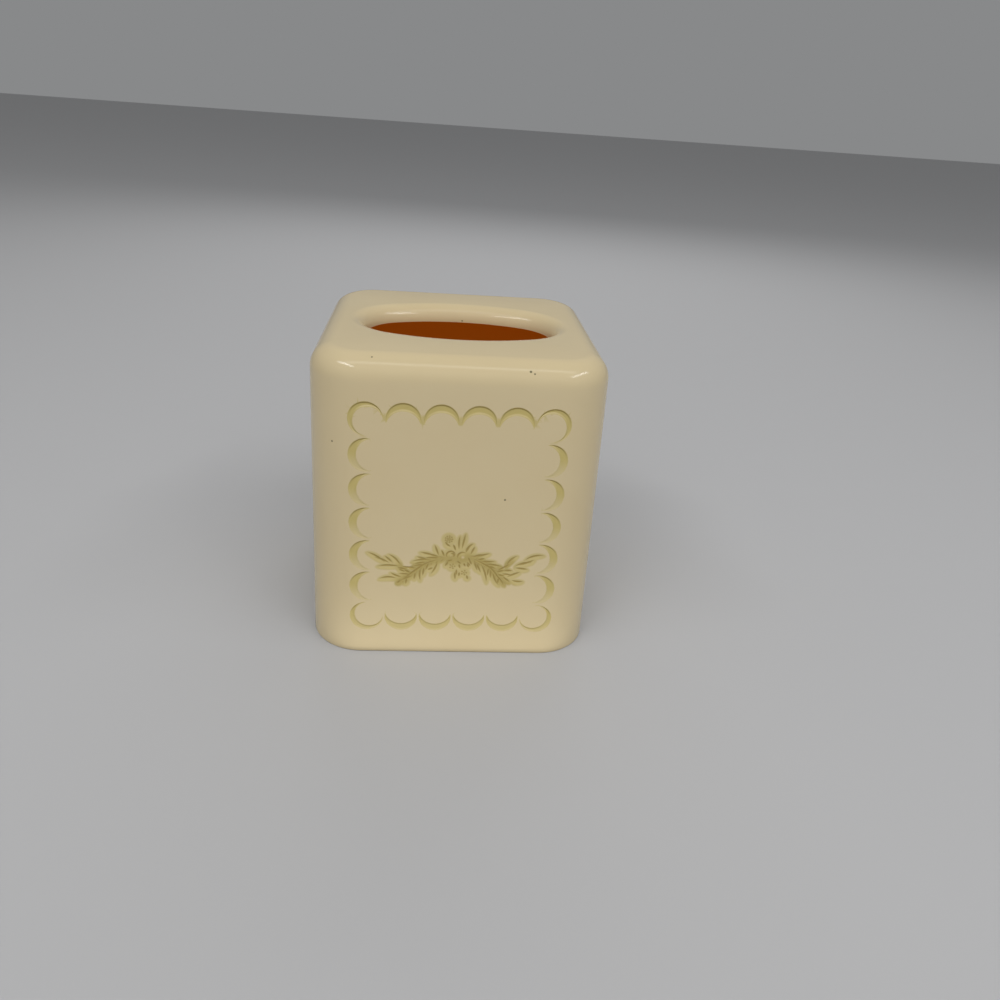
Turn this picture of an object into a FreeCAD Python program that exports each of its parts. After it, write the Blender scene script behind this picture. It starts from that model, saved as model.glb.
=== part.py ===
"""Tissue box cover: a one-piece moulded shell with an open base, an oval slot with a rolled lip,
and a border of crescent scallops on its front, each laid in colour on the wall.

Millimetres, +Z up. The origin is at the middle of the base. The front faces -Y.
"""
import FreeCAD, Part
import math
import os
import Sketcher

# Driving sizes: name, value, meaning
SIZES = [
    ("base_width", 135.0, "outside width and depth at the base"),
    ("cover_height", 145.0, "outside height"),
    ("draft_inset", 2.6, "how far each wall leans in over the height"),
    ("wall", 2.5, "thickness of walls, top and lip"),
    ("corner_inner_radius", 22.3, "inside radius of the upright corners, at the base"),
    ("top_inner_radius", 8.3, "inside radius of the edge round the top"),
    ("bevel_share", 0.586, "inside edges are bevelled: leg of the bevel as a share of the inside radius"),
    ("slot_end_land", 2.1, "flat left between the top edge and the lip, at the ends of the slot"),
    ("slot_side_land", 20.2, "flat left between the top edge and the lip, along the slot"),
    ("slot_end_share", 0.876, "end radius of the oval as a share of its half width"),
    ("lip_inner_radius", 4.8, "inside radius of the roll of the lip"),
    ("lip_land", 0.5, "straight end of the lip under its roll"),
    ("border_side_margin", 19.9, "side of the cover to the scalloped border"),
    ("border_base_margin", 12.8, "base to the border"),
    ("border_top_margin", 18.6, "top to the border"),
    ("scallop_pitch", 16.2, "wanted spacing, eased to fit a whole number"),
    ("scallop_gap", 1.0, "land between the horns of neighbouring scallops"),
    ("scallop_width", 3.6, "width of a scallop at its crown"),
    ("scallop_horn_angle", 104.0, "angle from the crown to where a scallop runs out"),
    ("corner_scallop_radius", 7.6, "outer radius of a corner scallop"),
    ("corner_scallop_width", 2.6, "width of a corner scallop at its crown"),
    ("corner_horn_angle", 135.0, "angle from the crown to where a corner scallop runs out"),
    ("colour_coat", 0.15, "thickness of the colour on a scallop"),
    ("overrun", 0.5, "how far a cut or a block runs past the face it crosses"),
]

doc = FreeCAD.newDocument("tissue_box_cover")
sheet = doc.addObject("Spreadsheet::Sheet", "sizes")
for row, (alias, value, meaning) in enumerate(SIZES, 1):
    sheet.set(f"A{row}", alias)
    sheet.set(f"B{row}", str(value))
    sheet.set(f"C{row}", meaning)
    sheet.setAlias(f"B{row}", alias)
doc.recompute()

# Sizes worked out from the driving ones
DRAFT = "atan(sizes.draft_inset / sizes.cover_height)"
CORNER_RADIUS = "(sizes.corner_inner_radius + sizes.wall)"
TOP_RADIUS = "(sizes.top_inner_radius + sizes.wall)"
LIP_RADIUS = "(sizes.lip_inner_radius + sizes.wall)"
FLAT_HALF = f"(sizes.base_width / 2 - sizes.draft_inset - {TOP_RADIUS})"
SLOT_HALF_LENGTH = f"({FLAT_HALF} - sizes.slot_end_land)"
SLOT_HALF_WIDTH = f"({FLAT_HALF} - sizes.slot_side_land)"
SLOT_END_RADIUS = f"(sizes.slot_end_share * {SLOT_HALF_WIDTH})"
SLOT_SIDE_RADIUS = (f"(({SLOT_HALF_LENGTH} ^ 2 + {SLOT_HALF_WIDTH} ^ 2"
                    f" - 2 * {SLOT_HALF_LENGTH} * {SLOT_END_RADIUS})"
                    f" / (2 * ({SLOT_HALF_WIDTH} - {SLOT_END_RADIUS})))")

CORNER_U = "(sizes.base_width / 2 - sizes.border_side_margin - sizes.corner_scallop_radius)"
CORNER_LOW = "(sizes.border_base_margin + sizes.corner_scallop_radius)"
CORNER_HIGH = "(sizes.cover_height - sizes.border_top_margin - sizes.corner_scallop_radius)"
ROW_STEPS = f"round(2 * {CORNER_U} / sizes.scallop_pitch)"
COLUMN_STEPS = f"round(({CORNER_HIGH} - {CORNER_LOW}) / sizes.scallop_pitch)"
ROW_PITCH = f"(2 * {CORNER_U} / {ROW_STEPS})"
COLUMN_PITCH = f"(({CORNER_HIGH} - {CORNER_LOW}) / {COLUMN_STEPS})"
ROW_RADIUS = f"(({ROW_PITCH} - sizes.scallop_gap) / 2)"
COLUMN_RADIUS = f"(({COLUMN_PITCH} - sizes.scallop_gap) / 2)"


def measure(expression):
    """The value of an expression, in millimetres or degrees."""
    value = sheet.evalExpression(expression)
    return getattr(value, "Value", value)


def plane(body, role):
    """One of the body's own origin planes or axes."""
    return next(f for f in body.Origin.OriginFeatures if f.Role == role)


def new_sketch(body, name, role):
    """An empty sketch on one of the body's origin planes."""
    sketch = body.newObject("Sketcher::SketchObject", name)
    sketch.AttachmentSupport = (plane(body, role), [""])
    sketch.MapMode = "FlatFace"
    return sketch


def constrain(sketch, kind, *where, size=None):
    """Add a constraint; a size is an expression that drives it."""
    if size is None:
        sketch.addConstraint(Sketcher.Constraint(kind, *where))
        return
    index = sketch.addConstraint(Sketcher.Constraint(kind, *where, measure(size)))
    sketch.setExpression(f"Constraints[{index}]", size)


def arc(x, y, radius, start, end):
    circle = Part.Circle(FreeCAD.Vector(x, y, 0), FreeCAD.Vector(0, 0, 1), radius)
    return Part.ArcOfCircle(circle, start, end)


def line(start, end):
    return Part.LineSegment(FreeCAD.Vector(*start, 0), FreeCAD.Vector(*end, 0))


def rounded_square(sketch, half, radius):
    """Four sides and four corner arcs, tangent all round and centred on the origin."""
    side, bend = measure(half), measure(radius)
    flat = side - bend
    quarter = math.pi / 2
    corners = [(flat, flat), (-flat, flat), (-flat, -flat), (flat, -flat)]
    sides = [((flat, side), (-flat, side)), ((-side, flat), (-side, -flat)),
             ((-flat, -side), (flat, -side)), ((side, -flat), (side, flat))]
    for turn in range(4):
        sketch.addGeometry(arc(*corners[turn], bend, turn * quarter, (turn + 1) * quarter), False)
        sketch.addGeometry(line(*sides[turn]), False)
    for turn in range(4):
        bow, edge, following = 2 * turn, 2 * turn + 1, (2 * turn + 2) % 8
        constrain(sketch, "Tangent", bow, 2, edge, 1)
        constrain(sketch, "Tangent", edge, 2, following, 1)
        constrain(sketch, "Vertical" if turn % 2 else "Horizontal", edge)
        if turn:
            constrain(sketch, "Equal", 0, bow)
    constrain(sketch, "Radius", 0, size=radius)
    constrain(sketch, "DistanceY", -1, 1, 1, 1, size=half)
    constrain(sketch, "DistanceX", 3, 1, -1, 1, size=half)
    constrain(sketch, "DistanceY", 5, 1, -1, 1, size=half)
    constrain(sketch, "DistanceX", -1, 1, 7, 1, size=half)


def half_oval(sketch, reach):
    """The +X half of a four-arc oval that runs round the throat of the slot at the given reach."""
    end_radius = f"{SLOT_END_RADIUS} - {LIP_RADIUS} + {reach}"
    side_radius = f"{SLOT_SIDE_RADIUS} - {LIP_RADIUS} + {reach}"
    end_centre = f"{SLOT_HALF_LENGTH} - {SLOT_END_RADIUS}"
    bend, sweep, centre = measure(end_radius), measure(side_radius), measure(end_centre)
    drop = math.sqrt((sweep - bend) ** 2 - centre ** 2)
    meet = math.atan2(drop, centre)
    quarter = math.pi / 2
    sketch.addGeometry(arc(0, drop, sweep, -quarter, -meet), False)
    sketch.addGeometry(arc(centre, 0, bend, -meet, meet), False)
    sketch.addGeometry(arc(0, -drop, sweep, meet, quarter), False)
    sketch.addGeometry(line((0, sweep - drop), (0, drop - sweep)), False)
    constrain(sketch, "Tangent", 0, 2, 1, 1)
    constrain(sketch, "Tangent", 1, 2, 2, 1)
    constrain(sketch, "Coincident", 2, 2, 3, 1)
    constrain(sketch, "Coincident", 3, 2, 0, 1)
    for end in (1, 2):
        constrain(sketch, "PointOnObject", 3, end, -2)
    constrain(sketch, "PointOnObject", 0, 3, -2)
    constrain(sketch, "PointOnObject", 1, 3, -1)
    constrain(sketch, "PointOnObject", 2, 3, -2)
    constrain(sketch, "Equal", 0, 2)
    constrain(sketch, "Radius", 1, size=end_radius)
    constrain(sketch, "Radius", 2, size=side_radius)
    constrain(sketch, "DistanceX", -1, 1, 1, 3, size=end_centre)


def top_loop(shape, outer):
    """Names of the edges round the flat top: its outer edge, or the edge of the slot in it."""
    top = max((f for f in shape.Faces if isinstance(f.Surface, Part.Plane)),
              key=lambda face: face.CenterOfMass.z)
    loops = [w for w in top.Wires if w.isSame(top.OuterWire) == outer]
    edges = [edge for loop in loops for edge in loop.Edges]
    return [f"Edge{number}" for number, edge in enumerate(shape.Edges, 1)
            if any(edge.isSame(wanted) for wanted in edges)]


def tapered_block(name, inset, height):
    """A body with one drafted block, its walls drawn in from the outside of the cover by the inset."""
    body = doc.addObject("PartDesign::Body", name)
    foot = new_sketch(body, f"{name}_foot", "XY_Plane")
    rounded_square(foot, f"sizes.base_width / 2 - {inset}", f"{CORNER_RADIUS} - {inset}")
    walls = body.newObject("PartDesign::Pad", f"{name}_walls")
    walls.Profile = foot
    walls.setExpression("Length", height)
    walls.setExpression("TaperAngle", f"-{DRAFT}")
    doc.recompute()
    return body, walls


def ease(body, name, base, outer, kind, size):
    """Round or bevel an edge that runs round the flat top."""
    eased = body.newObject(f"PartDesign::{kind}", name)
    eased.Base = (base, top_loop(base.Shape, outer))
    eased.setExpression("Radius" if kind == "Fillet" else "Size", size)
    body.Tip = eased
    doc.recompute()


def moulding(name, inset, slot_overrun, kind, share):
    """The cover as a full solid, drawn in all round by the inset, with the lip's well in its top."""
    body, walls = tapered_block(name, inset, f"sizes.cover_height - {inset}")
    ease(body, f"{name}_top_edge", walls, True, kind, f"({TOP_RADIUS} - {inset}) * {share}")

    throat = new_sketch(body, f"{name}_throat", "XY_Plane")
    throat.setExpression("AttachmentOffset.Base.z", f"sizes.cover_height - {inset}")
    half_oval(throat, inset)
    well = body.newObject("PartDesign::Pocket", f"{name}_well")
    well.Profile = throat
    well.setExpression("Length", f"{LIP_RADIUS} + sizes.lip_land - {inset} + {slot_overrun}")
    slot = body.newObject("PartDesign::Mirrored", f"{name}_slot")
    slot.Originals = [well]
    slot.MirrorPlane = (plane(body, "YZ_Plane"), [""])
    body.Tip = slot
    doc.recompute()
    ease(body, f"{name}_lip", slot, False, kind, f"({LIP_RADIUS} - {inset}) * {share}")
    return body


def face_body(name):
    """A body that lies on the front wall: its X runs across, its Y up the wall and its Z outward."""
    body = doc.addObject("PartDesign::Body", name)
    body.AllowCompound = True
    body.setExpression("Placement", "placement(vector(0; -sizes.base_width / 2; 0);"
                                    f" rotation(vector(1; 0; 0); 90 deg - {DRAFT}))")
    return body


def crescent(body, name, spot, crown, kind):
    """A crescent block through the wall, between an outer arc and an inner one shifted from the crown.

    spot is the centre of the outer arc on the wall, crown the direction of the thickest point in
    degrees, and kind the outer radius, the width at the crown and the angle of the horns.
    """
    radius, width, horn = kind
    shift = f"({width} * (2 * {radius} - {width}) / (2 * ({radius} * (1 - cos({horn})) - {width})))"
    inner_radius = f"({radius} + {shift} - {width})"
    inner_spot = (f"{spot[0]} - {shift} * cos({crown})", f"{spot[1]} - {shift} * sin({crown})")
    profile = new_sketch(body, f"{name}_profile", "XY_Plane")
    profile.setExpression("AttachmentOffset.Base.z", "-sizes.wall")
    facing = math.radians(crown)
    outer_turn = math.radians(measure(horn))
    reach, inner_reach = measure(radius), measure(inner_radius)
    inner_turn = math.acos((reach * math.cos(outer_turn) + measure(shift)) / inner_reach)
    for centre, bend, turn in ((spot, reach, outer_turn), (inner_spot, inner_reach, inner_turn)):
        across, up = measure(centre[0]), measure(centre[1])
        profile.addGeometry(arc(across, up, bend, facing - turn, facing + turn), False)
    constrain(profile, "Coincident", 0, 1, 1, 1)
    constrain(profile, "Coincident", 0, 2, 1, 2)
    for index, centre in enumerate((spot, inner_spot)):
        constrain(profile, "DistanceX", -1, 1, index, 3, size=centre[0])
        constrain(profile, "DistanceY", -1, 1, index, 3, size=centre[1])
    constrain(profile, "Radius", 0, size=radius)
    constrain(profile, "Radius", 1, size=inner_radius)
    block = body.newObject("PartDesign::Pad", f"{name}_block")
    block.Profile = profile
    block.setExpression("Length", "sizes.wall + sizes.overrun")
    doc.recompute()
    return block


def scallop_line(name, first, crown, kind, along, steps, pitch):
    """A straight line of scallops between two corners, repeated along one of the wall's axes."""
    body = face_body(name)
    block = crescent(body, name, first, crown, kind)
    line_up = body.newObject("PartDesign::LinearPattern", f"{name}_line")
    line_up.Originals = [block]
    line_up.Direction = (plane(body, along), [""])
    line_up.setExpression("Occurrences", f"{steps} - 1")
    line_up.setExpression("Length", f"({steps} - 2) * {pitch}")
    body.Tip = line_up
    doc.recompute()
    return body


def row_scallops():
    """The rows along the top and the bottom of the border."""
    kind = (ROW_RADIUS, "sizes.scallop_width", "sizes.scallop_horn_angle")
    start = f"({ROW_PITCH} - {CORNER_U})"
    high = f"(sizes.cover_height - sizes.border_top_margin - {ROW_RADIUS})"
    low = f"(sizes.border_base_margin + {ROW_RADIUS})"
    return [scallop_line(name, (start, up), crown, kind, "X_Axis", ROW_STEPS, ROW_PITCH)
            for name, up, crown in (("top_row", high, 90), ("bottom_row", low, 270))]


def column_scallops():
    """The columns up the two sides of the border."""
    kind = (COLUMN_RADIUS, "sizes.scallop_width", "sizes.scallop_horn_angle")
    start = f"({CORNER_LOW} + {COLUMN_PITCH})"
    far = f"(sizes.base_width / 2 - sizes.border_side_margin - {COLUMN_RADIUS})"
    return [scallop_line(name, (across, start), crown, kind, "Y_Axis", COLUMN_STEPS, COLUMN_PITCH)
            for name, across, crown in (("left_column", f"-{far}", 180), ("right_column", far, 0))]


def corner_scallops():
    """The four scallops that turn the corners of the border."""
    kind = ("sizes.corner_scallop_radius", "sizes.corner_scallop_width", "sizes.corner_horn_angle")
    corners = [(CORNER_U, CORNER_HIGH, 45), (f"-{CORNER_U}", CORNER_HIGH, 135),
               (f"-{CORNER_U}", CORNER_LOW, 225), (CORNER_U, CORNER_LOW, 315)]
    body = face_body("corners")
    for number, (across, up, crown) in enumerate(corners, 1):
        body.Tip = crescent(body, f"corner_{number}", (across, up), crown, kind)
    doc.recompute()
    return [body]


def gather(name, items):
    """Several objects as one."""
    result = doc.addObject("Part::Compound", name)
    result.Links = items
    doc.recompute()
    return result


def combine(kind, name, base, tool):
    """A Part boolean of two objects."""
    result = doc.addObject(f"Part::{kind}", name)
    result.Base = base
    result.Tool = tool
    doc.recompute()
    return result


# The moulding: the outer form less the hollow that follows it one wall further in
outside = moulding("outside", "0", "sizes.overrun", "Fillet", "1")
cavity = moulding("cavity", "sizes.wall", "0", "Chamfer", "sizes.bevel_share")
shell = combine("Cut", "cover_shell", outside, cavity)

# The coat of colour: a skin that follows the outside of the walls, cut to the crescents of the border
coat, _ = tapered_block("coat", "(-sizes.colour_coat)", "sizes.cover_height")
core, _ = tapered_block("core", "0", "sizes.cover_height")
skin = combine("Cut", "skin", coat, core)
rows = gather("rows", row_scallops())
columns = gather("columns", column_scallops())
corners = gather("corner_set", corner_scallops())

nodes = [
    shell,
    combine("Common", "row_scallop_fill", skin, rows),
    combine("Common", "column_scallop_fill", skin, columns),
    combine("Common", "corner_scallop_fill", skin, corners),
]

# Nothing is written unless every object is sound
doc.recompute()
for item in doc.Objects:
    if {"Invalid", "Error"} & set(item.State):
        raise RuntimeError(f"{item.Label} failed: {item.State}")
for node in nodes:
    if node.Shape.isNull() or not node.Shape.isValid() or not node.Shape.Solids:
        raise RuntimeError(f"{node.Label} has no valid shape")

os.makedirs("parts", exist_ok=True)
for node in nodes:
    node.Shape.exportStep(f"parts/{node.Label}.step")
    box = node.Shape.BoundBox
    print(f"{node.Label}: {len(node.Shape.Solids)} solids, {node.Shape.Volume / 1000:.3f} cm3, "
          f"{box.XLength:.2f} x {box.YLength:.2f} x {box.ZLength:.2f} mm")
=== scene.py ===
# %% [markdown]
# # A moulded tissue box cover
#
# The real object is one glossy cream moulding: four walls that lean in a little, a soft top edge, an oval
# slot with a rolled lip, and an open base. The front carries a border of carved crescents and a leafy swag,
# both rubbed with olive colour. Nothing on it moves, so every piece here rides on the one body, "root".
#
# The lesson first builds the flat ornament, then wraps it onto the wall, then dresses and lights the cover.

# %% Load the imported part
import math

import bmesh
import bpy
import numpy as np
from mathutils import Matrix, Vector
from mathutils.bvhtree import BVHTree
from mathutils.geometry import delaunay_2d_cdt
from mathutils.kdtree import KDTree


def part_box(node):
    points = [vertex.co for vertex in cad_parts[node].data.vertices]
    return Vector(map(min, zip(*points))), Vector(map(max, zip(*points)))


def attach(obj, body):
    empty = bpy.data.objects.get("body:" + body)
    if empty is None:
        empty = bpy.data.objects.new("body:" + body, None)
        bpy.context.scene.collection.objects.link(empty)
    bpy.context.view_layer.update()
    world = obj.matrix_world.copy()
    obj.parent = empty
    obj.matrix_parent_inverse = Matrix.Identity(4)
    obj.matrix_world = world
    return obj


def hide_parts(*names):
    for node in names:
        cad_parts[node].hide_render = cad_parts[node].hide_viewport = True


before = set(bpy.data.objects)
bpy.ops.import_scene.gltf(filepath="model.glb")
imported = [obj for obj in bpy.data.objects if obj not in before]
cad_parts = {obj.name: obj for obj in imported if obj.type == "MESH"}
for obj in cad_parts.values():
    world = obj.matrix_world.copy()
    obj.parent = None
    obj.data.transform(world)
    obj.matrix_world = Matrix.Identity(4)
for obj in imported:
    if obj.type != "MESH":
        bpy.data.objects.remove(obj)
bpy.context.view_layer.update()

print("nodes of the part:", sorted(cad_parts))

# %% [markdown]
# ## Sizes
#
# The overall size comes from the part's own box, so the dressed model can't outgrow it. The rest are the
# sizes of the moulding in millimetres. Everything is worked out in millimetres and scaled once, when a mesh
# is made, because small decimals in metres are hard to read.

# %% Sizes of the moulding, in millimetres
MM = 0.001
SHELL_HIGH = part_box("cover_shell")[1] / MM
BASE_HALF = SHELL_HIGH.x
HEIGHT = SHELL_HIGH.z
WALL = 2.5
DRAFT_INSET = 2.6
CORNER_RADIUS = 24.8
TOP_RADIUS = 10.8
LIP_RADIUS = 7.3
LIP_LAND = 0.5
SLOT_HALF_LENGTH = 52.0
SLOT_HALF_WIDTH = 33.9
SLOT_END_RADIUS = 0.876 * SLOT_HALF_WIDTH
RIM_EASE = 0.6
FLAT = BASE_HALF - CORNER_RADIUS
print(f"cover: {2 * BASE_HALF:.1f} mm wide, {HEIGHT:.1f} mm tall, flat of the wall {2 * FLAT:.1f} mm")

# %% [markdown]
# ## A point on the front wall
#
# The ornament is easiest to draw flat: u runs across the front, v up it, and the third number is how deep
# the carving goes. `wall_points` lays such flat points onto the real wall, which leans in with the draft and
# turns round the upright corners. Beyond the flat of the wall, u is measured along the corner's arc.

# %% Lay flat points onto the wall
ARC_RADIUS = CORNER_RADIUS - DRAFT_INSET / 2


def inset_at(height):
    """How far the wall has leaned in at a height."""
    return DRAFT_INSET * height / HEIGHT


def wall_points(u, v, depth):
    """Places on the front of the cover, for flat coordinates and a depth below the surface."""
    turn = np.maximum(np.abs(u) - FLAT, 0) / ARC_RADIUS
    reach = CORNER_RADIUS - inset_at(v) - depth
    x = np.sign(u) * (np.minimum(np.abs(u), FLAT) + reach * np.sin(turn))
    y = -(FLAT + reach * np.cos(turn))
    return np.stack([x, y, v], axis=-1)


def mesh_object(name, points, faces):
    """A new object from points in millimetres."""
    mesh = bpy.data.meshes.new(name)
    mesh.from_pydata((np.asarray(points) * MM).tolist(), [], [list(map(int, face)) for face in faces])
    thing = bpy.data.objects.new(name, mesh)
    bpy.context.scene.collection.objects.link(thing)
    return thing


print("a point halfway up the front:", wall_points(np.array(0.0), np.array(HEIGHT / 2), np.array(0.0)))

# %% [markdown]
# ## A little kit for node trees
#
# A crescent and a leaf both repeat many times, so each is made once, by a Geometry Nodes tree, and placed by
# the tree as instances. These helpers keep the trees short: one adds a node and plugs its inputs, and one
# adds a maths node and hands back its answer.

# %% Helpers for node trees


def new_tree(name, inputs):
    """A geometry tree with named inputs. Returns the tree and its group input node."""
    tree = bpy.data.node_groups.new(name, "GeometryNodeTree")
    tree.interface.new_socket("Geometry", in_out="INPUT", socket_type="NodeSocketGeometry")
    for label, kind in inputs:
        tree.interface.new_socket(label, in_out="INPUT", socket_type=f"NodeSocket{kind}")
    tree.interface.new_socket("Geometry", in_out="OUTPUT", socket_type="NodeSocketGeometry")
    return tree, tree.nodes.new("NodeGroupInput")


def plug(tree, value, socket):
    """Feed a socket from another socket, or set it to a plain value."""
    if isinstance(value, bpy.types.NodeSocket):
        tree.links.new(value, socket)
    else:
        socket.default_value = value


def add(tree, kind, inputs=(), **settings):
    """A node with its settings made and its inputs plugged, by name or by number."""
    node = tree.nodes.new(kind)
    for key, value in settings.items():
        setattr(node, key, value)
    for key, value in dict(inputs).items():
        plug(tree, value, node.inputs[key])
    return node


def maths(tree, operation, *values):
    """The answer of one maths node."""
    node = add(tree, "ShaderNodeMath", operation=operation)
    for value, socket in zip(values, node.inputs):
        plug(tree, value, socket)
    return node.outputs[0]


def vector(tree, x=0.0, y=0.0, z=0.0):
    """Three numbers as one vector."""
    return add(tree, "ShaderNodeCombineXYZ", {"X": x, "Y": y, "Z": z}).outputs[0]


def finish_tree(tree, geometry, material):
    """End a tree: real geometry in place of instances, and the material on it."""
    real = add(tree, "GeometryNodeRealizeInstances", {"Geometry": geometry})
    dressed = add(tree, "GeometryNodeSetMaterial", {"Geometry": real.outputs[0], "Material": material})
    tree.links.new(dressed.outputs[0], add(tree, "NodeGroupOutput").inputs[0])


def run_tree(tree, carrier, values, mask=None):
    """Run a tree on an object and return its points, its faces and a mask; the object is used up."""
    modifier = carrier.modifiers.new(tree.name, "NODES")
    modifier.node_group = tree
    sockets = {item.name: item.identifier for item in tree.interface.items_tree if item.in_out == "INPUT"}
    for label, value in values.items():
        modifier[sockets[label]] = value
    graph = bpy.context.evaluated_depsgraph_get()
    mesh = bpy.data.meshes.new_from_object(carrier.evaluated_get(graph))
    carrier.modifiers.remove(modifier)
    points = np.array([vertex.co for vertex in mesh.vertices]).reshape(-1, 3)
    faces = [tuple(face.vertices) for face in mesh.polygons]
    numbers = np.array([item.value for item in mesh.attributes[mask].data]) if mask else np.zeros(len(points))
    bpy.data.meshes.remove(mesh)
    bpy.data.objects.remove(carrier)
    return points, faces, numbers


print("node helpers ready")

# %% [markdown]
# ## Colours
#
# The plastic is a warm cream. The colour in the carving is an olive wash: thin where it was wiped off the
# surface, dense where it stays in a corner of a groove. The dark olive is partly that colour and partly
# painted shade, in the deep veins and on the walls of the scallops that face down. Colours are written here
# as they look on screen and turned into the linear numbers that shaders use.

# %% Colours as they look on screen


def on_screen(red, green, blue):
    """A screen colour, 0 to 255, as linear values with full alpha."""
    parts = [part / 255 for part in (red, green, blue)]
    linear = [part / 12.92 if part <= 0.04045 else ((part + 0.055) / 1.055) ** 2.4 for part in parts]
    return (*linear, 1.0)


CREAM = on_screen(213, 196, 157)
CREAM_WARM = on_screen(210, 191, 150)
# Painted light: the amber and its glow stand for light that has passed through the plastic into the hollow.
PAINTED_THROUGH_LIGHT = on_screen(196, 122, 46)
PAINTED_AMBER_GLOW = on_screen(78, 40, 2)
NO_GLOW = on_screen(0, 0, 0)
OLIVE_WASH = on_screen(195, 177, 110)
OLIVE_LINE_AND_SHADE = on_screen(154, 132, 66)
SPECK = on_screen(96, 92, 66)
print("cream in linear values:", [round(part, 3) for part in CREAM])

# %% [markdown]
# ## One effect for every moulded surface
#
# Moulded plastic is never one flat value: its colour drifts softly over a few centimetres and its shine
# varies with handling. Both materials share this, so it is a shader group with named inputs. It reads object
# coordinates, which stay put when the camera moves.

# %% The shared drift of colour and shine
BLOTCH_DETAIL = 3.0
HANDLED_FREQUENCY, HANDLED_DETAIL, HANDLED_RANGE = 60.0, 2.0, (0.3, 0.7)
FINE_FREQUENCY, FINE_DETAIL = 130.0, 1.0


def moulded_drift():
    """A group that puts out a soft blotch mask, a roughness and a fine height."""
    group = bpy.data.node_groups.new("moulded_drift", "ShaderNodeTree")
    for label, kind, side in [("Blotch Size", "Float", "INPUT"), ("Low Roughness", "Float", "INPUT"),
                              ("High Roughness", "Float", "INPUT"), ("Blotch", "Float", "OUTPUT"),
                              ("Roughness", "Float", "OUTPUT"), ("Height", "Float", "OUTPUT")]:
        group.interface.new_socket(label, in_out=side, socket_type=f"NodeSocket{kind}")
    given = add(group, "NodeGroupInput")
    place = add(group, "ShaderNodeTexCoord").outputs["Object"]
    frequency = maths(group, "DIVIDE", 1.0, given.outputs["Blotch Size"])

    def noise(scale, detail):
        """A soft noise, as one value."""
        texture = add(group, "ShaderNodeTexNoise", {"Vector": place, "Scale": scale, "Detail": detail})
        return texture.outputs[0]

    blotch = noise(frequency, BLOTCH_DETAIL)
    handled = noise(HANDLED_FREQUENCY, HANDLED_DETAIL)
    fine = noise(FINE_FREQUENCY, FINE_DETAIL)
    shine = add(group, "ShaderNodeMapRange", {"Value": handled, "From Min": HANDLED_RANGE[0],
                                              "From Max": HANDLED_RANGE[1],
                                              "To Min": given.outputs["Low Roughness"],
                                              "To Max": given.outputs["High Roughness"]})
    result = add(group, "NodeGroupOutput")
    group.links.new(blotch, result.inputs["Blotch"])
    group.links.new(shine.outputs[0], result.inputs["Roughness"])
    group.links.new(fine, result.inputs["Height"])
    return group


DRIFT = moulded_drift()
print("shader group:", DRIFT.name, [item.name for item in DRIFT.interface.items_tree])

# %% [markdown]
# ## The two finishes
#
# Each mesh carries masks as attributes, one number for each point: `wash` and `line` say where the olive
# colour lies thin or dense. `line` also holds painted shade, in the deep veins and on the walls of the
# scallops that face down, and `wash` is thinned as painted light on walls that face up. `inside` marks the
# hollow, which is painted amber with a faint glow, as painted light that has passed through the plastic. The
# shader only mixes colours by these masks, so the ornament keeps its sharpness.

# %% Helpers for the finishes
RELIEF = 0.3 * MM
PLASTIC_IOR = 1.5
SPECK_CORE = 0.4


def mix_colour(tree, mask, first, second):
    """Two colours mixed by a mask."""
    node = add(tree, "ShaderNodeMix", data_type="RGBA")
    plug(tree, mask, node.inputs[0])
    plug(tree, first, node.inputs[6])
    plug(tree, second, node.inputs[7])
    return node.outputs[2]


def mask_of(tree, name):
    """A mask that the mesh carries."""
    return add(tree, "ShaderNodeAttribute", attribute_name=name).outputs["Fac"]


def plastic(name, blotch_size, shine, bump):
    """A plastic with the shared drift. Returns the material, its tree, the shader and the drift node."""
    material = bpy.data.materials.new(name)
    material.use_nodes = True
    tree = material.node_tree
    shader = tree.nodes["Principled BSDF"]
    drift = add(tree, "ShaderNodeGroup", node_tree=DRIFT)
    drift.inputs["Blotch Size"].default_value = blotch_size
    drift.inputs["Low Roughness"].default_value, drift.inputs["High Roughness"].default_value = shine
    tree.links.new(drift.outputs["Roughness"], shader.inputs["Roughness"])
    relief = add(tree, "ShaderNodeBump", {"Strength": bump, "Distance": RELIEF,
                                          "Height": drift.outputs["Height"]})
    tree.links.new(relief.outputs[0], shader.inputs["Normal"])
    return material, tree, shader, drift


def speck_mask(tree, spots):
    """Small marks on the surface: 1 within a spot's radius, with a soft edge. Spots are in millimetres."""
    place = add(tree, "ShaderNodeTexCoord").outputs["Object"]
    total = 0.0
    for x, y, z, radius in spots:
        gap = add(tree, "ShaderNodeVectorMath", {0: place, 1: (x * MM, y * MM, z * MM)}, operation="DISTANCE")
        edge = add(tree, "ShaderNodeMapRange", {"Value": gap.outputs["Value"], "From Min": radius * MM,
                                                "From Max": SPECK_CORE * radius * MM})
        total = maths(tree, "MAXIMUM", edge.outputs[0], total)
    return total


print("helpers for the finishes ready")

# %% [markdown]
# ## Mix the two finishes
#
# The cream is glossy and almost even. The olive in the grooves is duller, because it was rubbed in and dried
# there. The amber of the hollow could be traced as light that passes through the wall, which renders slowly,
# so a painted amber colour and a faint painted glow stand for that light.

# %% Cream plastic and olive colour
CREAM_BLOTCH, CREAM_SHINE, CREAM_BUMP = 35 * MM, (0.09, 0.14), 0.06
OLIVE_BLOTCH, OLIVE_SHINE, OLIVE_BUMP = 12 * MM, (0.3, 0.4), 0.08
PAINTED_GLOW_STRENGTH = 1.0
# Six small marks of use: where each lies, and its radius, in millimetres.
SPECKS = [(21.2, -66.0, 83.1, 0.6), (-54.2, -62.5, 106.9, 0.55), (28.2, -62.4, 141.3, 0.7),
          (29.9, -63.0, 140.6, 0.5), (-37.4, -59.5, 143.7, 0.5), (1.7, 26.6, 138.0, 0.5)]


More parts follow.
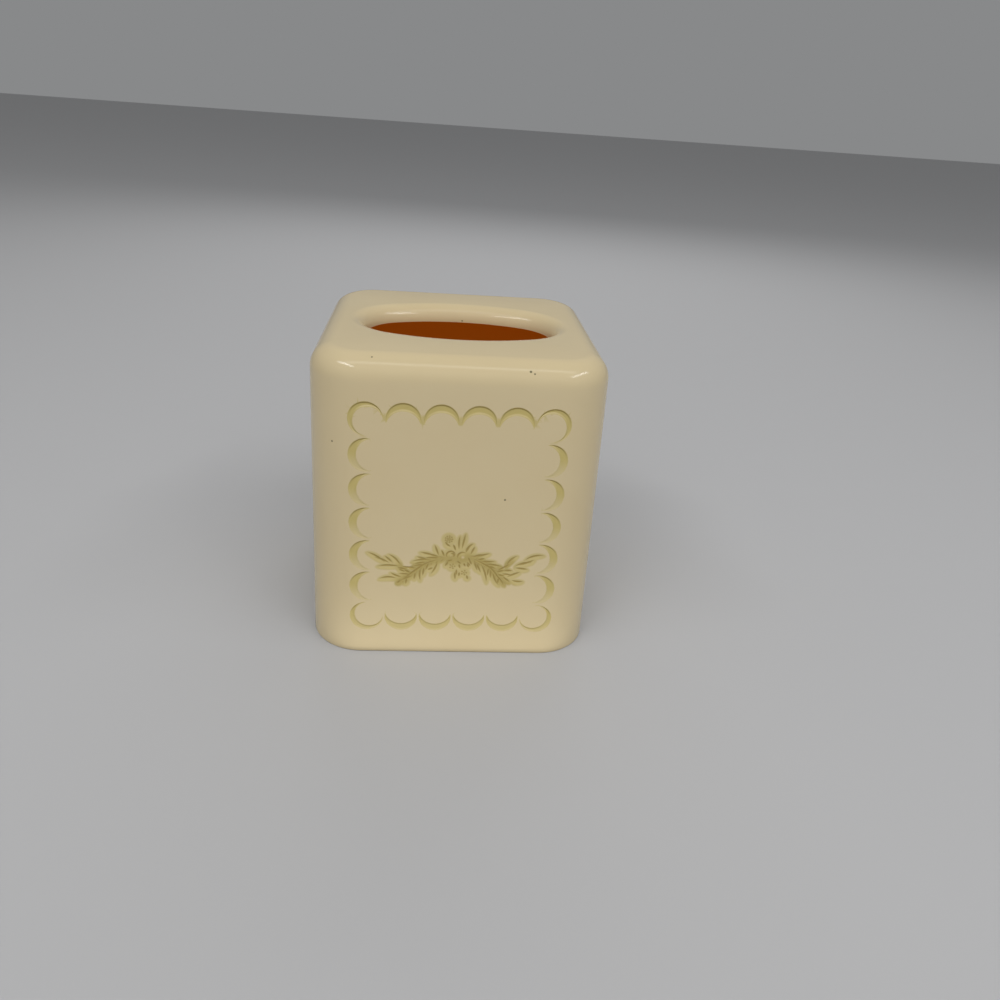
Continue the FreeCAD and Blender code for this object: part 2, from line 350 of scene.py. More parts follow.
def cream_plastic():
    """The moulding's plastic: cream outside, painted amber light and glow inside, with the swag's colour and
    painted vein shade, and the specks.
    """
    material, tree, shader, drift = plastic("cream_plastic", CREAM_BLOTCH, CREAM_SHINE, CREAM_BUMP)
    body = mix_colour(tree, drift.outputs["Blotch"], CREAM, CREAM_WARM)
    # Painted light: the hollow is coloured amber and glows faintly, for light that has passed through the
    # wall.
    inside = mask_of(tree, "inside")
    body = mix_colour(tree, inside, body, PAINTED_THROUGH_LIGHT)
    tree.links.new(mix_colour(tree, inside, NO_GLOW, PAINTED_AMBER_GLOW), shader.inputs["Emission Color"])
    shader.inputs["Emission Strength"].default_value = PAINTED_GLOW_STRENGTH
    body = mix_colour(tree, mask_of(tree, "wash"), body, OLIVE_WASH)
    # The `line` mask darkens the veins to olive, partly colour kept in the carving and partly painted shade.
    body = mix_colour(tree, mask_of(tree, "line"), body, OLIVE_LINE_AND_SHADE)
    body = mix_colour(tree, speck_mask(tree, SPECKS), body, SPECK)
    tree.links.new(body, shader.inputs["Base Color"])
    shader.inputs["IOR"].default_value = PLASTIC_IOR
    return material


def olive_fill():
    """The duller colour in the border."""
    material, tree, shader, _ = plastic("olive_fill", OLIVE_BLOTCH, OLIVE_SHINE, OLIVE_BUMP)
    thin = mix_colour(tree, mask_of(tree, "wash"), CREAM, OLIVE_WASH)
    # Here the `line` mask is painted shade on walls that face down, and a thinner `wash` on walls that face
    # up is painted light.
    body = mix_colour(tree, mask_of(tree, "line"), thin, OLIVE_LINE_AND_SHADE)
    tree.links.new(body, shader.inputs["Base Color"])
    shader.inputs["IOR"].default_value = PLASTIC_IOR
    return material


CREAM_PLASTIC = cream_plastic()
OLIVE_FILL = olive_fill()
print("materials:", CREAM_PLASTIC.name, OLIVE_FILL.name)

# %% [markdown]
# ## One crescent, many times
#
# A scallop of the border is a crescent between two arcs, cut with steep walls and a flat floor. It could be
# modelled once and copied by hand, but a Geometry Nodes tree keeps its sizes as named inputs, so the same
# tree makes the rows, the columns and the tighter corners. A grid is bent into the crescent: one of its
# directions runs along the arcs, the other from the outer arc to the inner one, and the depth rises from
# nothing at either arc.

# %% The tree of the scallops
ALONG, ACROSS = 41, 13
CARVING_DEPTH = 0.4
WALL_RUN = 0.8
LOW_END_BELOW, KEPT_ABOVE = -0.9, 0.3
HORN_MERGE = 0.001


def scallop_tree():
    """One crescent bent from a grid, carved to a depth, and copied along a line."""
    tree, given = new_tree("scallop_line", [
        ("Radius", "Float"), ("Crown Width", "Float"), ("Horn Angle", "Float"), ("Depth", "Float"),
        ("Low End Share", "Float"), ("Wall Run", "Float"), ("First", "Vector"), ("Step", "Vector"),
        ("Count", "Int"), ("Turn", "Vector"), ("Material", "Material")])
    size = given.outputs
    grid = add(tree, "GeometryNodeMeshGrid", {"Size X": 2.0, "Size Y": 1.0, "Vertices X": ALONG,
                                              "Vertices Y": ACROSS})
    flat = add(tree, "ShaderNodeSeparateXYZ", {0: add(tree, "GeometryNodeInputPosition").outputs[0]})
    along = flat.outputs["X"]
    across = maths(tree, "ADD", flat.outputs["Y"], 0.5)

    radius, width, horn = size["Radius"], size["Crown Width"], size["Horn Angle"]
    horn_reach = maths(tree, "MULTIPLY", radius, maths(tree, "SUBTRACT", 1.0, maths(tree, "COSINE", horn)))
    top = maths(tree, "MULTIPLY", width, maths(tree, "SUBTRACT", maths(tree, "MULTIPLY", radius, 2.0), width))
    spare = maths(tree, "SUBTRACT", horn_reach, width)
    shift = maths(tree, "DIVIDE", top, maths(tree, "MULTIPLY", spare, 2.0))
    inner = maths(tree, "SUBTRACT", maths(tree, "ADD", radius, shift), width)
    horn_x = maths(tree, "ADD", maths(tree, "MULTIPLY", radius, maths(tree, "COSINE", horn)), shift)
    inner_horn = maths(tree, "ARCCOSINE", maths(tree, "DIVIDE", horn_x, inner))

    def arc_point(bend, reach, back):
        """A place on an arc, with the arc's centre moved back."""
        turn = maths(tree, "MULTIPLY", along, reach)
        x = maths(tree, "SUBTRACT", maths(tree, "MULTIPLY", maths(tree, "COSINE", turn), bend), back)
        return vector(tree, x, maths(tree, "MULTIPLY", maths(tree, "SINE", turn), bend))

    outer_point = arc_point(radius, horn, 0.0)
    inner_point = arc_point(inner, inner_horn, shift)
    between = add(tree, "ShaderNodeMix", {0: across, 4: outer_point, 5: inner_point}, data_type="VECTOR")
    room = add(tree, "ShaderNodeVectorMath", {0: outer_point, 1: inner_point}, operation="DISTANCE")
    edge_share = maths(tree, "MINIMUM", across, maths(tree, "SUBTRACT", 1.0, across))
    edge_gap = maths(tree, "MULTIPLY", edge_share, room.outputs["Value"])
    fall = add(tree, "ShaderNodeMapRange", {"Value": edge_gap, "From Max": size["Wall Run"],
                                            "To Max": size["Depth"]}, interpolation_type="SMOOTHSTEP")
    crown = add(tree, "ShaderNodeSeparateXYZ", {0: size["Turn"]}).outputs["Z"]
    upness = maths(tree, "SINE", maths(tree, "ADD", maths(tree, "MULTIPLY", along, horn), crown))
    # Towards a crescent's lower end the carving gets shallower and its colour paler; the paler colour is
    # painted light from above.
    kept = add(tree, "ShaderNodeMapRange", {"Value": upness, "From Min": LOW_END_BELOW, "From Max": KEPT_ABOVE,
                                            "To Min": size["Low End Share"]}, interpolation_type="SMOOTHSTEP")
    depth = maths(tree, "MULTIPLY", fall.outputs[0], kept.outputs[0])
    sunk = vector(tree, z=maths(tree, "MULTIPLY", depth, -1.0))
    spot = add(tree, "ShaderNodeVectorMath", {0: between.outputs[1], 1: sunk}, operation="ADD")
    marked = add(tree, "GeometryNodeStoreNamedAttribute", {"Geometry": grid.outputs[0], "Name": "kept",
                                                           "Value": kept.outputs[0]}, data_type="FLOAT")
    bent = add(tree, "GeometryNodeSetPosition", {"Geometry": marked.outputs[0], "Position": spot.outputs[0]})
    closed = add(tree, "GeometryNodeMergeByDistance", {"Geometry": bent.outputs[0], "Distance": HORN_MERGE})
    places = add(tree, "GeometryNodeMeshLine", {"Count": size["Count"], "Start Location": size["First"],
                                                "Offset": size["Step"]})
    copies = add(tree, "GeometryNodeInstanceOnPoints", {"Points": places.outputs[0],
                                                        "Instance": closed.outputs[0],
                                                        "Rotation": size["Turn"]})
    finish_tree(tree, copies.outputs[0], size["Material"])
    return tree


SCALLOPS = scallop_tree()
print("tree:", SCALLOPS.name, "with", len(SCALLOPS.nodes), "nodes")

# %% [markdown]
# ## The border
#
# The border's outer edge is read from the part's corner pieces. A whole number of scallops fills each side
# between the corners, so the spacing follows from the border's size.

# %% Sizes of the border
BORDER_LOW, BORDER_HIGH = (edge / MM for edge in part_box("corner_scallop_fill"))
SCALLOP_PITCH = 16.2
SCALLOP_GAP = 1.0
SIDE_CROWN_WIDTH, SIDE_HORN = 3.6, 104
ROW_LOW_END, COLUMN_LOW_END = 0.8, 0.45
CORNER_SCALLOP = {"Radius": 7.6, "Crown Width": 2.6, "Horn Angle": math.radians(135)}

corner_u = BORDER_HIGH.x - CORNER_SCALLOP["Radius"]
corner_low = BORDER_LOW.z + CORNER_SCALLOP["Radius"]
corner_high = BORDER_HIGH.z - CORNER_SCALLOP["Radius"]
row_steps = round(2 * corner_u / SCALLOP_PITCH)
column_steps = round((corner_high - corner_low) / SCALLOP_PITCH)
row_pitch = 2 * corner_u / row_steps
column_pitch = (corner_high - corner_low) / column_steps
print(f"border: {row_steps} steps of {row_pitch:.2f} mm across, {column_steps} of {column_pitch:.2f} mm up")

# %% [markdown]
# ## Lines of scallops
#
# Each side of the border is one run of the tree: where its first scallop sits, the step to the next, how many
# there are, and which way their crowns face. A corner is a line of one. The lower end of each crescent is
# carved shallower and its olive is painted paler, as painted light from above, most of all on the two upright
# sides.

# %% Lay out the border


def side_scallop(pitch):
    """The sizes of a scallop that fills one step of a side."""
    return {"Radius": (pitch - SCALLOP_GAP) / 2, "Crown Width": SIDE_CROWN_WIDTH,
            "Horn Angle": math.radians(SIDE_HORN)}


def scallop_line(kind, first, step, count, crown, low_end_share):
    """Flat points and faces of a line of scallops whose crowns face one way, in degrees."""
    carrier = mesh_object("scallop_carrier", [(0, 0, 0)], [])
    points, faces, kept = run_tree(SCALLOPS, carrier, {
        **kind, "Depth": CARVING_DEPTH, "Low End Share": low_end_share, "Wall Run": WALL_RUN, "First": (*first, 0.0),
        "Step": (*step, 0.0), "Count": count, "Turn": (0.0, 0.0, math.radians(crown)),
        "Material": OLIVE_FILL}, "kept")
    halves = [(face[0], *pair) for face in faces for pair in zip(face[1:], face[2:])]
    return points, halves, kept


def joined(parts):
    """Several sets of points, faces and masks as one."""
    points, faces, masks, start = [], [], [], 0
    for part_points, part_faces, part_mask in parts:
        points.append(part_points)
        masks.append(part_mask)
        faces += [tuple(corner + start for corner in face) for face in part_faces]
        start += len(part_points)
    return np.concatenate(points), faces, np.concatenate(masks)


row, column = side_scallop(row_pitch), side_scallop(column_pitch)
row_start, column_start = row_pitch - corner_u, corner_low + column_pitch
side_u = BORDER_HIGH.x - column["Radius"]
BORDER = {
    "row": joined([
        scallop_line(row, (row_start, v), (row_pitch, 0), row_steps - 1, crown, ROW_LOW_END)
        for v, crown in ((BORDER_HIGH.z - row["Radius"], 90), (BORDER_LOW.z + row["Radius"], 270))]),
    "column": joined([
        scallop_line(column, (u, column_start), (0, column_pitch), column_steps - 1, crown, COLUMN_LOW_END)
        for u, crown in ((-side_u, 180), (side_u, 0))]),
    "corner": joined([
        scallop_line(CORNER_SCALLOP, (u, v), (0, 0), 1, crown, ROW_LOW_END)
        for u, v, crown in ((corner_u, corner_high, 45), (-corner_u, corner_high, 135),
                            (-corner_u, corner_low, 225), (corner_u, corner_low, 315))]),
}
for name, (points, faces, _) in BORDER.items():
    print(f"{name} scallops: {len(points)} points, {len(faces)} faces")

# %% [markdown]
# ## The leafy swag
#
# Below the middle hangs a swag of narrow leaves, with two round blossoms where its branches meet. It is
# drawn as strokes: each leaf, stem or petal is a short curve, and each seed a ring. A second tree sweeps one
# hollow profile along every stroke at once, full in the middle and fine at the ends, which gives a stamp for
# the carving. A sweep suits leaves that each bend their own way better than copies of one straight leaf.

# %% The tree of the strokes
STROKE_STOPS, PROFILE_STEPS = 24, 8


def stroke_tree():
    """A hollow profile swept along every stroke, full in the middle of an open one and even round a ring."""
    tree, given = new_tree("carved_strokes", [("Depth Share", "Float"), ("Taper", "Float"),
                                              ("Material", "Material")])
    size = given.outputs
    stops = add(tree, "GeometryNodeResampleCurve", {"Curve": size["Geometry"], "Count": STROKE_STOPS})
    level = add(tree, "GeometryNodeSetCurveNormal", {"Curve": stops.outputs[0]}, mode="Z_UP")
    along = add(tree, "GeometryNodeSplineParameter").outputs["Factor"]
    belly = maths(tree, "POWER", maths(tree, "SINE", maths(tree, "MULTIPLY", along, math.pi)), size["Taper"])
    ring = add(tree, "GeometryNodeInputSplineCyclic").outputs[0]
    swell = maths(tree, "MAXIMUM", belly, ring)
    radius = maths(tree, "MULTIPLY", add(tree, "GeometryNodeInputRadius").outputs[0], swell)
    hollow = vector(tree, y=maths(tree, "MULTIPLY", size["Depth Share"], 2.0))
    profile = add(tree, "GeometryNodeCurveQuadraticBezier", {
        "Resolution": PROFILE_STEPS, "Start": (-1.0, 0.0, 0.0), "Middle": hollow, "End": (1.0, 0.0, 0.0)})
    swept = add(tree, "GeometryNodeCurveToMesh", {"Curve": level.outputs[0], "Scale": radius,
                                                  "Profile Curve": profile.outputs[0]})
    finish_tree(tree, swept.outputs[0], size["Material"])
    return tree


STROKES = stroke_tree()
print("tree:", STROKES.name, "with", len(STROKES.nodes), "nodes")

# %% [markdown]
# ## Small leaves
#
# Small leaves crowd along the two main stems between the drawn ones. These do repeat, so a third tree sets
# copies of one lens-shaped leaf along a stem, on both sides, turned out from it and smaller towards its tip.
# A seed gives each its own small turn, the same on every run.

# %% The tree of the small leaves
LEAF_ALONG, LEAF_ACROSS = 11, 7
BARE_FROM = 0.8
TIP_SHRINK = 0.35
LEAF_SWAY = 0.3


def leaf_tree():
    """Lens-shaped leaves in pairs along a stem, up to its bare tip."""
    tree, given = new_tree("leafy_branch", [
        ("Leaves", "Int"), ("Length", "Float"), ("Width", "Float"), ("Depth", "Float"), ("Splay", "Float"),
        ("Seed", "Int"), ("Material", "Material")])
    size = given.outputs
    grid = add(tree, "GeometryNodeMeshGrid", {"Size X": 1.0, "Size Y": 2.0, "Vertices X": LEAF_ALONG,
                                              "Vertices Y": LEAF_ACROSS})
    flat = add(tree, "ShaderNodeSeparateXYZ", {0: add(tree, "GeometryNodeInputPosition").outputs[0]})
    along = maths(tree, "ADD", flat.outputs["X"], 0.5)
    side = flat.outputs["Y"]
    belly = maths(tree, "SINE", maths(tree, "MULTIPLY", along, math.pi))
    bowl = maths(tree, "SUBTRACT", maths(tree, "MULTIPLY", side, side), 1.0)
    spot = vector(tree, along, maths(tree, "MULTIPLY", belly, maths(tree, "MULTIPLY", side, 0.5)),
                  maths(tree, "MULTIPLY", belly, bowl))
    leaf = add(tree, "GeometryNodeSetPosition", {"Geometry": grid.outputs[0], "Position": spot})
    bare_tip = add(tree, "GeometryNodeTrimCurve", {"Curve": size["Geometry"], "End": BARE_FROM})
    stations = add(tree, "GeometryNodeCurveToPoints", {"Curve": bare_tip.outputs[0], "Count": size["Leaves"]})
    heading = add(tree, "ShaderNodeSeparateXYZ", {0: stations.outputs["Tangent"]})
    facing = maths(tree, "ARCTAN2", heading.outputs["Y"], heading.outputs["X"])
    place = add(tree, "GeometryNodeInputIndex").outputs[0]
    share = maths(tree, "DIVIDE", maths(tree, "MODULO", place, size["Leaves"]), size["Leaves"])
    taper = maths(tree, "SUBTRACT", 1.0, maths(tree, "MULTIPLY", share, TIP_SHRINK))
    spread = vector(tree, maths(tree, "MULTIPLY", size["Length"], taper),
                    maths(tree, "MULTIPLY", size["Width"], taper), size["Depth"])
    everything = add(tree, "GeometryNodeJoinGeometry")
    for number, way in enumerate((1.0, -1.0)):
        seed = maths(tree, "ADD", maths(tree, "MULTIPLY", size["Seed"], 2.0), float(number))
        sway = add(tree, "FunctionNodeRandomValue", {2: -LEAF_SWAY, 3: LEAF_SWAY, "Seed": seed},
                   data_type="FLOAT")
        out = maths(tree, "ADD", maths(tree, "MULTIPLY", size["Splay"], way), sway.outputs[1])
        turn = maths(tree, "ADD", facing, out)
        copies = add(tree, "GeometryNodeInstanceOnPoints", {
            "Points": stations.outputs["Points"], "Instance": leaf.outputs[0],
            "Rotation": vector(tree, z=turn), "Scale": spread})
        tree.links.new(copies.outputs[0], everything.inputs[0])
    finish_tree(tree, everything.outputs[0], size["Material"])
    return tree


LEAVES = leaf_tree()
print("tree:", LEAVES.name, "with", len(LEAVES.nodes), "nodes")

# %% [markdown]
# ## Where the strokes lie
#
# The swag was drawn freehand on the real cover, so no rule gives its leaves. Each stroke is listed by the
# two to five places that it passes through, across and up the front in millimetres, from its root to its
# tip. The curls are arcs: a middle, a radius, and the angles where the arc starts and ends. A bud is a
# middle, the radius of a ring of seeds, and how many seeds the ring has.

# %% Places of the strokes
LEFT_STEMS = [[(-4, 52.7), (-12, 50.5), (-17.5, 46), (-27.5, 37)], [(-16.5, 47.3), (-21, 47), (-24.5, 47.7)]]
LEFT_LEAVES = [
    [(-31, 49.2), (-35.5, 53.5), (-39.8, 54.9)], [(-24, 47.5), (-26.5, 52.6), (-30.3, 54)],
    [(-28, 49.5), (-31.8, 53.2)], [(-24.5, 47.6), (-30, 48.6), (-35.2, 47.5)], [(-19.5, 44.2), (-23.3, 46)],
    [(-23.5, 42), (-27, 42.4), (-29.2, 44.5)], [(-25.5, 41), (-30, 42.8), (-34.4, 40.6)],
    [(-21.5, 41.6), (-22, 38)], [(-15, 47.3), (-16.2, 44), (-15.2, 40)],
    [(-7.5, 51), (-8.4, 46.5), (-10.8, 43.6)],
    [(-9.5, 51.6), (-15, 52), (-19.6, 50.3)], [(-13, 49), (-19.2, 48)], [(-6.5, 53), (-12.3, 54.6)],
    [(-6, 52.6), (-13.8, 52.6)], [(-7, 53.5), (-9.2, 59.6)], [(-4.6, 53.2), (-6, 57)],
    [(-8, 53.6), (-16, 55.5)],
    [(-11.5, 50), (-13.2, 45.5)], [(-17.5, 45), (-18.2, 40.6)], [(-12, 51.6), (-17.5, 53)],
    [(-12.5, 50.3), (-18.6, 49.2)], [(-19.6, 43.4), (-25.6, 43.9)], [(-18.6, 43), (-24.2, 40.2)],
    [(-24, 40.4), (-26.2, 38.4)], [(-13.6, 47.8), (-14.3, 42.6)], [(-29.2, 49.2), (-33, 51.6), (-36.6, 52.2)],
    [(-22, 44.6), (-25.6, 46.4)], [(-21.2, 46.2), (-26.2, 46.9)], [(-9.4, 47.4), (-12.2, 46)]]
RIGHT_STEMS = [[(6, 53.8), (11, 51.4), (18, 47.5), (22, 40.5), (27.2, 37.8)],
               [(19.5, 46.2), (23, 48), (26.5, 50.8)]]
RIGHT_LEAVES = [
    [(24, 48.6), (25.4, 53), (29.3, 54.8)], [(28, 48.8), (31.5, 51.5), (36.4, 51.2)],
    [(32.2, 52), (35.5, 55.4), (41.6, 55.2)], [(28, 48.2), (34.6, 47.5)], [(24.3, 43), (31.2, 46.3)],
    [(26.8, 41.8), (29.5, 40.2), (32.8, 41.2)], [(19.4, 45.6), (23.6, 46.8)], [(20, 44.4), (24, 43.6)],
    [(18, 46.4), (18.6, 41.5), (21.6, 38.2)], [(12, 50.4), (15.3, 45), (15.4, 39.6)],
    [(16, 48), (15.6, 43.4)],
    [(9, 51.4), (11, 46)], [(6.8, 52), (8.2, 49.2)], [(11.5, 51.6), (15, 50.6), (19.2, 51.6)],
    [(13.5, 49.8), (18, 50), (22.4, 48.5)], [(7.8, 53.2), (13.2, 55.2)], [(7.2, 54.4), (9.3, 59.2)],
    [(4.8, 55.2), (7.4, 60.4)], [(9.4, 53.4), (16.5, 55.6)], [(21, 43), (20.6, 39)],
    [(10.5, 51.8), (14.2, 52.9)],
    [(14.6, 48.9), (19.8, 47.5)], [(17, 47.6), (17.2, 42)], [(19.2, 44.8), (22.2, 41.6), (24, 38.2)],
    [(22.4, 43.6), (26.6, 40.2)], [(10, 50.8), (12.6, 45)], [(29.6, 49.4), (33.8, 51), (37.4, 53)],
    [(22.6, 46.6), (27.4, 46.6)], [(5.8, 50.8), (7.6, 48.6)], [(22, 44.8), (27, 44.4)]]
CROWN_LEAVES = [
    [(2, 56.8), (1.6, 61), (2.3, 64.8)], [(3.2, 57), (4, 62), (4.8, 66)], [(0.6, 56.4), (-0.8, 60)],
    [(1.2, 47), (1.2, 43.2)], [(-2.6, 51), (-4.2, 48)], [(1, 51.2), (3.4, 49.6)], [(6.2, 53.2), (7.4, 51)],
    [(2.2, 49.8), (2.8, 47)], [(4.4, 50.2), (5.2, 48.2)], [(5.8, 49.8), (7, 47.8)], [(0.4, 45.6), (0.8, 41)],
    [(6, 43.8), (6.6, 41.2)], [(2.6, 45.4), (2.4, 42.8)], [(-4.6, 61.4), (-3.6, 59.2), (-1.6, 58.6)],
    [(-0.4, 51.9), (-3.8, 50.6)], [(4.6, 56.2), (6.6, 59.6), (8.8, 60.6)]]
MIDDLE = [(-5, 52.4), (1, 51), (7, 52.8)]
BLOSSOMS = [(-1.6, 54.1, 2.1), (3.9, 53.2, 2.6)]
CURLS = [(-1.6, 54.1, 2.2, -30, 250), (-1.2, 54, 1.1, -80, 150), (3.9, 53.2, 2.6, 45, 215)]
BUDS = [(-2.8, 62.4, 1.6, 9), (-2.8, 62.4, 0.8, 5), (-0.8, 48.3, 1.1, 5), (4.7, 45, 1.1, 5)]
leaf_lines = LEFT_LEAVES + RIGHT_LEAVES + CROWN_LEAVES
print(f"swag: {len(leaf_lines)} leaves, {len(BLOSSOMS)} blossoms, {len(BUDS)} rings of seeds")

# %% [markdown]
# ## Stamps for the carving
#
# Three stamps are swept from these strokes. The wide, shallow one is the body of each leaf, a little below
# its vein, so that the vein reads as the leaf's shaded edge. The narrow, deep one is the veins and the
# seeds, and the third, the stems alone, only says where the colour lies thickest.

# %% Helpers for the strokes
RING_STOPS = 12
DOT_SIZE = 0.2
SPLINE_STEPS, SPLINE_ORDER = 12, 3
STROKE_TAPER = 0.6


def round_stops(u, v, size, start, end, count):
    """Stops along an arc, from one angle to another in degrees."""
    turns = np.radians(np.linspace(start, end, count))
    return list(zip(u + size * np.cos(turns), v + size * np.sin(turns)))


def ring_stops(u, v, size):
    """Stops all round a ring, without meeting the first again."""
    return round_stops(u, v, size, 0, 360 - 360 / RING_STOPS, RING_STOPS)


def seed_dots(u, v, size, seeds):
    """The seeds of a bud: one dot in the middle and a ring of them."""
    spots = [(u, v)] + round_stops(u, v, size, 0, 360 * (seeds - 1) / seeds, seeds)
    return [ring_stops(*spot, DOT_SIZE) for spot in spots]


def stroke_carrier(strokes, rings, half):
    """A curve object with one smooth spline for each open stroke and each closed ring."""
    line = bpy.data.curves.new("stroke_carrier", "CURVE")
    line.dimensions = "3D"
    line.resolution_u = SPLINE_STEPS
    for closed, group in ((False, strokes), (True, rings)):
        for stops in group:
            spline = line.splines.new("NURBS")
            spline.points.add(len(stops) - 1)
            for point, (u, v) in zip(spline.points, stops):
                point.co = (u, v, 0.0, 1.0)
                point.radius = half
            spline.order_u = min(SPLINE_ORDER, len(stops))
            spline.use_endpoint_u = not closed
            spline.use_cyclic_u = closed
    thing = bpy.data.objects.new("stroke_carrier", line)
    bpy.context.scene.collection.objects.link(thing)
    return thing


def swept(strokes, rings, half, share):
    """A stamp of strokes and rings with one half width, and a depth that is a share of it."""
    return run_tree(STROKES, stroke_carrier(strokes, rings, half), {
        "Depth Share": share, "Taper": STROKE_TAPER, "Material": CREAM_PLASTIC})


print("helpers for the strokes ready")

# %% [markdown]
# ## Sweep the stamps
#
# A stamp is only flat points, faces and depths. It never shows: the front is pressed down onto it later. So
# strokes may cross in it freely, which would make a mess in a visible mesh.

# %% Sweep the strokes into stamps
LEAF_HALF, LEAF_SHARE = 1.3, 0.16
VEIN_HALF, VEIN_SHARE = 0.62, 0.6
DOT_HALF, BUD_HALF = 0.42, 1.3
SMALL_HALF, SMALL_VEIN_HALF, SMALL_SPLAY = 0.8, 0.42, 36
SMALL_LEAVES, SMALL_LENGTH, SMALL_SEED = 9, 4.2, 1
LEAF_DROP = 0.45
CURL_STOPS = 7


def small_leaves(half, share):
    """A stamp of the small leaves of the two main stems."""
    return run_tree(LEAVES, stroke_carrier([LEFT_STEMS[0], RIGHT_STEMS[0]], [], half), {
        "Leaves": SMALL_LEAVES, "Length": SMALL_LENGTH, "Width": 2 * half, "Depth": half * share,
        "Splay": math.radians(SMALL_SPLAY), "Seed": SMALL_SEED, "Material": CREAM_PLASTIC})


petal_lines = [round_stops(*curl, CURL_STOPS) for curl in CURLS]
vein_lines = LEFT_STEMS + RIGHT_STEMS + leaf_lines + petal_lines
leaf_bodies = [[(u, v - LEAF_DROP) for u, v in stops] for stops in leaf_lines]
bud_bodies = [ring_stops(u, v, size) for u, v, size, *_ in BUDS + BLOSSOMS]
dots = [dot for bud in BUDS for dot in seed_dots(*bud)]
LEAF_STAMP = joined([swept(leaf_bodies, [], LEAF_HALF, LEAF_SHARE),
                     swept([], bud_bodies, BUD_HALF, LEAF_SHARE / 2), small_leaves(SMALL_HALF, LEAF_SHARE)])
STEM_STAMP = swept(LEFT_STEMS + RIGHT_STEMS + [MIDDLE], [], VEIN_HALF, VEIN_SHARE)
VEIN_STAMP = joined([swept(vein_lines, [], VEIN_HALF, VEIN_SHARE), swept([], dots, DOT_HALF, VEIN_SHARE),
                     small_leaves(SMALL_VEIN_HALF, VEIN_SHARE)])
VEIN_DEPTH = VEIN_HALF * VEIN_SHARE
print(f"stamps: {len(LEAF_STAMP[0])} points of leaves, {len(VEIN_STAMP[0])} of veins, "
      f"carved {VEIN_DEPTH:.2f} mm deep")

# %% [markdown]
# ## Look up the rims and the stamps
#
# The front of the wall is a flat sheet of triangles between the rims of the scallops. Its outer edge has
# points where the rest of the moulding has them. Questions such as "is this place in a groove" and "how deep
# is the leaf here" are asked many times, so the grooves and the stamps go into lookups first. Each question
# shoots a ray up through a stamp, or asks for the nearest place on it.

# %% Lookups for the front panel
CORNER_STEPS, FLAT_STEPS = 24, 32
PANEL_STEPS = 6
PANEL_LOW, PANEL_HIGH, PANEL_ROWS = 6.0, 131.0, 32
UP = Vector((0, 0, 1))
BELOW_GROOVES, BELOW_STAMPS = -1.0, -2.0

side_turns = np.arange(1, PANEL_STEPS + 1) * (math.pi / 2 / CORNER_STEPS) * ARC_RADIUS
flat_stops = np.linspace(-FLAT, FLAT, FLAT_STEPS + 1)
PANEL_U = np.concatenate([-FLAT - side_turns[::-1], flat_stops, FLAT + side_turns])
PANEL_V = np.linspace(PANEL_LOW, PANEL_HIGH, PANEL_ROWS + 1)


def tree_of(points):
    """A lookup of the nearest point."""
    lookup = KDTree(len(points))
    for number, (u, v) in enumerate(points):
        lookup.insert((u, v, 0.0), number)
    lookup.balance()
    return lookup


def rim_edges(faces):
    """The edges that only one face uses, in that face's direction."""
    seen = {}
    for face in faces:
        for start, end in zip(face, face[1:] + face[:1]):
            seen[(start, end)] = seen.get((end, start), 0) + 1
    return [edge for edge in seen if (edge[1], edge[0]) not in seen]


grooves, groove_faces, _ = joined(BORDER.values())
rims = rim_edges(groove_faces)
rim_numbers = sorted({corner for edge in rims for corner in edge})
rim_points = grooves[rim_numbers][:, :2]
rim_order = {corner: number for number, corner in enumerate(rim_numbers)}
flat_grooves = BVHTree.FromPolygons([Vector((u, v, 0)) for u, v, _ in grooves], groove_faces)
leaf_stamp, stem_stamp, vein_stamp = (BVHTree.FromPolygons([Vector(point) for point in points], faces)
                                      for points, faces, _ in (LEAF_STAMP, STEM_STAMP, VEIN_STAMP))
rim_lookup = tree_of(rim_points)


def in_groove(u, v):
    """Whether a place lies inside a scallop."""
    return flat_grooves.ray_cast(Vector((u, v, BELOW_GROOVES)), UP)[0] is not None


def stamp_gap(stamp, u, v):
    """How far a place is from a stamp."""
    return stamp.find_nearest(Vector((u, v, 0)))[3]


def stamp_depth(stamp, u, v):
    """How deep a stamp cuts at a place, 0 beside it."""
    hit = stamp.ray_cast(Vector((u, v, BELOW_STAMPS)), UP)[0]
    return 0.0 if hit is None else -hit.z


def clear_of_rims(u, v, room):
    """Whether a place is outside the scallops and has room to their rims."""
    return rim_lookup.find((u, v, 0))[2] > room and not in_groove(u, v)


print(f"lookups: {len(rim_points)} rim points, {len(rims)} rim edges")

# %% [markdown]
# ## Points of the front
#
# The sheet needs small triangles under the leaves and large ones elsewhere. Square lattices of three
# spacings give the loose points, each used at its own distance from the leaves. Two more sets serve the
# border: a point just outside each rim point, which keeps the shading of the groove's edge tight, and fine
# points in the narrow cusps where two scallops almost touch, because colour stayed there too.

# %% Loose points of the front panel
COARSE, MEDIUM, FINE = 3.0, 1.0, 0.21
WASH_REACH = 1.3
FINE_REACH, MEDIUM_REACH = WASH_REACH + 0.4, 6.0
RIM_GUARD = 0.22
GUARD_ROOM, RIM_ROOM = 0.8 * RIM_GUARD, 1.6 * RIM_GUARD
CUSP_REACH, CUSP_STEP = 2.4, 0.37
OPPOSITE = -0.6


def frame_points():
    """The panel's edge, in order round it, on the places where the rest of the shell has its points."""
    bottom = [(u, PANEL_V[0]) for u in PANEL_U[:-1]]
    right = [(PANEL_U[-1], v) for v in PANEL_V[:-1]]
    top = [(u, PANEL_V[-1]) for u in PANEL_U[:0:-1]]
    left = [(PANEL_U[0], v) for v in PANEL_V[:0:-1]]
    return bottom + right + top + left


